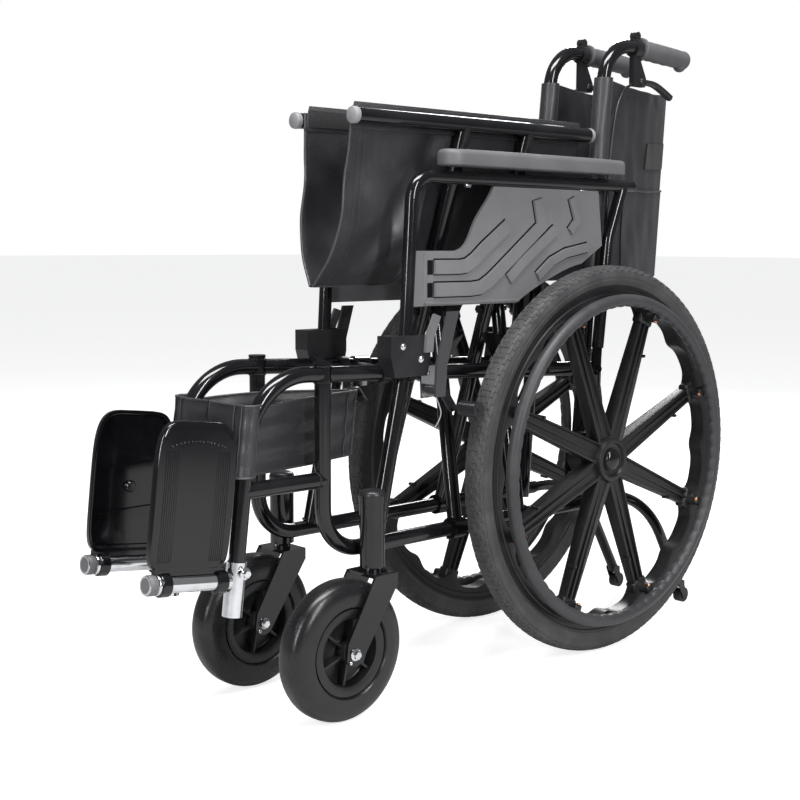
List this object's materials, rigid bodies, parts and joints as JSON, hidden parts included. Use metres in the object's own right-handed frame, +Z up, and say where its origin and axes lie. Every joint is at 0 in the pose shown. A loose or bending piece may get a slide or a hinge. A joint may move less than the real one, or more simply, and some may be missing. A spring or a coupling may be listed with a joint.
{
  "type": "manual wheelchair",
  "caption": "Folding heavy-duty manual wheelchair, folded: spoked rear wheels with hand rims, solid casters, sling seat and back, flip-back armrests, flip-up footplates.",
  "frame": {"origin": "on the floor, at the middle of the folded chair's box", "axes": "+Z up, -Y to the front of the chair, +X to the occupant's left"},
  "size_m": [0.342, 1.1222, 0.9874],
  "materials": {
    "frame": "gloss black stove enamel",
    "chrome": "bright chrome plate",
    "black_plastic": "fine-grained moulded plastic",
    "grey_plastic": "fine-grained grey plastic",
    "gloss_plastic": "high-gloss moulded plastic",
    "wheel_plastic": "satin glass-filled nylon",
    "tyre": "matt solid rubber tread",
    "caster": "smooth satin polyurethane",
    "grip": "matt rubber grip",
    "pad": "integral-skin foam",
    "vinyl": "soft coated nylon with a slight sheen",
    "cable": "satin cable housing",
    "brake_metal": "zinc-plated steel"
  },
  "bodies": {
    "left_frame": {"left_lower_frame": "frame", "left_top_rail": "frame", "left_cane": "frame", "left_grip": "grip", "left_drum_brake": "frame", "left_receiver": "black_plastic", "left_brake_bracket": "brake_metal", "left_perch": "black_plastic", "left_brake_cable": "cable", "left_anti_tipper": "frame", "left_strap_front": "vinyl"},
    "right_frame": {"right_lower_frame": "frame", "right_top_rail": "frame", "right_cane": "frame", "right_grip": "grip", "right_drum_brake": "frame", "right_receiver": "black_plastic", "right_brake_bracket": "brake_metal", "right_perch": "black_plastic", "right_brake_cable": "cable", "right_anti_tipper": "frame", "right_strap_front": "vinyl"},
    "brace_a": {"brace_a": "frame"},
    "brace_b": {"brace_b": "frame"},
    "left_seat": {"left_seat_half": "vinyl"},
    "left_back": {"left_back_half": "vinyl"},
    "left_strap": {"left_calf_strap": "vinyl"},
    "left_rear_wheel": {"left_tyre": "tyre", "left_wheel": "wheel_plastic", "left_hand_rim": "wheel_plastic"},
    "left_fork": {"left_fork": "frame"},
    "left_caster": {"left_caster_wheel": "caster"},
    "left_armrest": {"left_arm_tube": "frame", "left_arm_pad": "pad", "left_side_panel": "black_plastic"},
    "left_latch": {"left_latch": "grey_plastic"},
    "left_brake_lever": {"left_brake_lever": "frame"},
    "left_brake_shoe": {"left_brake_shoe": "brake_metal"},
    "left_hand_lever": {"left_hand_lever": "frame"},
    "left_foot_tube": {"left_foot_tube": "chrome"},
    "left_footplate": {"left_footplate": "gloss_plastic"},
    "left_tip_roller": {"left_tip_roller": "black_plastic"},
    "right_seat": {"right_seat_half": "vinyl"},
    "right_back": {"right_back_half": "vinyl"},
    "right_strap": {"right_calf_strap": "vinyl"},
    "right_rear_wheel": {"right_tyre": "tyre", "right_wheel": "wheel_plastic", "right_hand_rim": "wheel_plastic"},
    "right_fork": {"right_fork": "frame"},
    "right_caster": {"right_caster_wheel": "caster"},
    "right_armrest": {"right_arm_tube": "frame", "right_arm_pad": "pad", "right_side_panel": "black_plastic"},
    "right_latch": {"right_latch": "grey_plastic"},
    "right_brake_lever": {"right_brake_lever": "frame"},
    "right_brake_shoe": {"right_brake_shoe": "brake_metal"},
    "right_hand_lever": {"right_hand_lever": "frame"},
    "right_foot_tube": {"right_foot_tube": "chrome"},
    "right_footplate": {"right_footplate": "gloss_plastic"},
    "right_tip_roller": {"right_tip_roller": "black_plastic"}
  },
  "joints": [
    {"name": "fold", "type": "hinge", "parent": "left_frame", "child": "brace_a", "pos_m": [0.072, -0.0271, 0.226], "axis": [0, -1, 0], "range_deg": [0, 48]},
    {"name": "brace_cross", "type": "hinge", "parent": "brace_a", "child": "brace_b", "pos_m": [0, -0.0141, 0.5414], "axis": [0, 1, 0], "range_deg": [0, 96]},
    {"name": "right_brace_foot", "type": "hinge", "parent": "brace_b", "child": "right_frame", "pos_m": [-0.072, -0.0541, 0.226], "axis": [0, -1, 0], "range_deg": [0, 48]},
    {"name": "left_seat_fold", "type": "hinge", "parent": "brace_b", "child": "left_seat", "pos_m": [0.062, 0.0324, 0.813], "axis": [0, 1, 0], "range_deg": [0, 12]},
    {"name": "left_back_fold", "type": "hinge", "parent": "left_frame", "child": "left_back", "pos_m": [0.056, 0.30552, 0.74], "axis": [0, 0.0797, 0.9968], "range_deg": [0, 63.84]},
    {"name": "left_strap_fold", "type": "hinge", "parent": "left_frame", "child": "left_strap", "pos_m": [0.072, -0.40567, 0.39], "axis": [0, 0.1182, 0.993], "range_deg": [0, 62.4]},
    {"name": "left_wheel_spin", "type": "hinge", "parent": "left_frame", "child": "left_rear_wheel", "pos_m": [0.128, 0.2504, 0.305], "axis": [1, 0, 0], "continuous": true},
    {"name": "left_caster_swivel", "type": "hinge", "parent": "left_frame", "child": "left_fork", "pos_m": [0.1, -0.2166, 0.25], "axis": [0, 0, 1], "continuous": true},
    {"name": "left_caster_spin", "type": "hinge", "parent": "left_fork", "child": "left_caster", "pos_m": [0.1, -0.2736, 0.0975], "axis": [1, 0, 0], "continuous": true},
    {"name": "left_armrest_flip", "type": "hinge", "parent": "left_frame", "child": "left_armrest", "pos_m": [0.088, 0.2744, 0.44377], "axis": [-1, 0, 0], "range_deg": [0, 90]},
    {"name": "left_latch_tilt", "type": "hinge", "parent": "left_frame", "child": "left_latch", "pos_m": [0.107, -0.1186, 0.499], "axis": [-1, 0, 0], "range_deg": [0, 25], "stiffness_Nm_per_rad": 0.05},
    {"name": "left_brake_lever_turn", "type": "hinge", "parent": "left_frame", "child": "left_brake_lever", "pos_m": [0.095, -0.1016, 0.437], "axis": [1, 0, 0], "range_deg": [0, 45]},
    {"name": "left_brake_shoe_swing", "type": "hinge", "parent": "left_frame", "child": "left_brake_shoe", "pos_m": [0.09, -0.0756, 0.437], "axis": [1, 0, 0], "range_deg": [0, 24.75]},
    {"name": "left_hand_lever_squeeze", "type": "hinge", "parent": "left_frame", "child": "left_hand_lever", "pos_m": [0.056, 0.4164, 0.908], "axis": [1, 0, 0], "range_deg": [0, 16], "stiffness_Nm_per_rad": 0.5, "springref_deg": -8.59},
    {"name": "left_footrest_slide", "type": "slide", "parent": "left_frame", "child": "left_foot_tube", "axis": [0, -0.1182, -0.993], "range_m": [0, 0.035]},
    {"name": "left_footplate_flip", "type": "hinge", "parent": "left_foot_tube", "child": "left_footplate", "pos_m": [0.072, -0.48661, 0.22114], "axis": [0, -0.993, 0.1182], "range_deg": [0, 90]},
    {"name": "left_tip_roller_spin", "type": "hinge", "parent": "left_frame", "child": "left_tip_roller", "pos_m": [0.072, 0.5474, 0.022], "axis": [1, 0, 0], "continuous": true},
    {"name": "right_seat_fold", "type": "hinge", "parent": "brace_a", "child": "right_seat", "pos_m": [-0.062, 0.0324, 0.813], "axis": [0, -1, 0], "range_deg": [0, 12]},
    {"name": "right_back_fold", "type": "hinge", "parent": "right_frame", "child": "right_back", "pos_m": [-0.056, 0.30552, 0.74], "axis": [0, -0.0797, -0.9968], "range_deg": [0, 63.84]},
    {"name": "right_strap_fold", "type": "hinge", "parent": "right_frame", "child": "right_strap", "pos_m": [-0.072, -0.40567, 0.39], "axis": [0, -0.1182, -0.993], "range_deg": [0, 62.4]},
    {"name": "right_wheel_spin", "type": "hinge", "parent": "right_frame", "child": "right_rear_wheel", "pos_m": [-0.128, 0.2504, 0.305], "axis": [1, 0, 0], "continuous": true},
    {"name": "right_caster_swivel", "type": "hinge", "parent": "right_frame", "child": "right_fork", "pos_m": [-0.1, -0.2166, 0.25], "axis": [0, 0, 1], "continuous": true},
    {"name": "right_caster_spin", "type": "hinge", "parent": "right_fork", "child": "right_caster", "pos_m": [-0.1, -0.2736, 0.0975], "axis": [1, 0, 0], "continuous": true},
    {"name": "right_armrest_flip", "type": "hinge", "parent": "right_frame", "child": "right_armrest", "pos_m": [-0.088, 0.2744, 0.44377], "axis": [-1, 0, 0], "range_deg": [0, 90]},
    {"name": "right_latch_tilt", "type": "hinge", "parent": "right_frame", "child": "right_latch", "pos_m": [-0.107, -0.1186, 0.499], "axis": [-1, 0, 0], "range_deg": [0, 25], "stiffness_Nm_per_rad": 0.05},
    {"name": "right_brake_lever_turn", "type": "hinge", "parent": "right_frame", "child": "right_brake_lever", "pos_m": [-0.095, -0.1016, 0.437], "axis": [1, 0, 0], "range_deg": [0, 45]},
    {"name": "right_brake_shoe_swing", "type": "hinge", "parent": "right_frame", "child": "right_brake_shoe", "pos_m": [-0.09, -0.0756, 0.437], "axis": [1, 0, 0], "range_deg": [0, 24.75]},
    {"name": "right_hand_lever_squeeze", "type": "hinge", "parent": "right_frame", "child": "right_hand_lever", "pos_m": [-0.056, 0.4164, 0.908], "axis": [1, 0, 0], "range_deg": [0, 16], "stiffness_Nm_per_rad": 0.5, "springref_deg": -8.59},
    {"name": "right_footrest_slide", "type": "slide", "parent": "right_frame", "child": "right_foot_tube", "axis": [0, -0.1182, -0.993], "range_m": [0, 0.035]},
    {"name": "right_footplate_flip", "type": "hinge", "parent": "right_foot_tube", "child": "right_footplate", "pos_m": [-0.072, -0.48661, 0.22114], "axis": [0, 0.993, -0.1182], "range_deg": [0, 90]},
    {"name": "right_tip_roller_spin", "type": "hinge", "parent": "right_frame", "child": "right_tip_roller", "pos_m": [-0.072, 0.5474, 0.022], "axis": [1, 0, 0], "continuous": true}
  ],
  "couplings": [
    {"joint": "brace_cross", "follows": "fold", "ratio": 2},
    {"joint": "right_brace_foot", "follows": "fold", "ratio": 1},
    {"joint": "left_seat_fold", "follows": "fold", "ratio": 0.25},
    {"joint": "left_back_fold", "follows": "fold", "ratio": 1.33},
    {"joint": "left_strap_fold", "follows": "fold", "ratio": 1.3},
    {"joint": "left_brake_shoe_swing", "follows": "left_brake_lever_turn", "ratio": 0.55},
    {"joint": "left_footplate_flip", "follows": "fold", "ratio": 1.875},
    {"joint": "right_seat_fold", "follows": "fold", "ratio": 0.25},
    {"joint": "right_back_fold", "follows": "fold", "ratio": 1.33},
    {"joint": "right_strap_fold", "follows": "fold", "ratio": 1.3},
    {"joint": "right_brake_shoe_swing", "follows": "right_brake_lever_turn", "ratio": 0.55},
    {"joint": "right_footplate_flip", "follows": "fold", "ratio": 1.875}
  ]
}
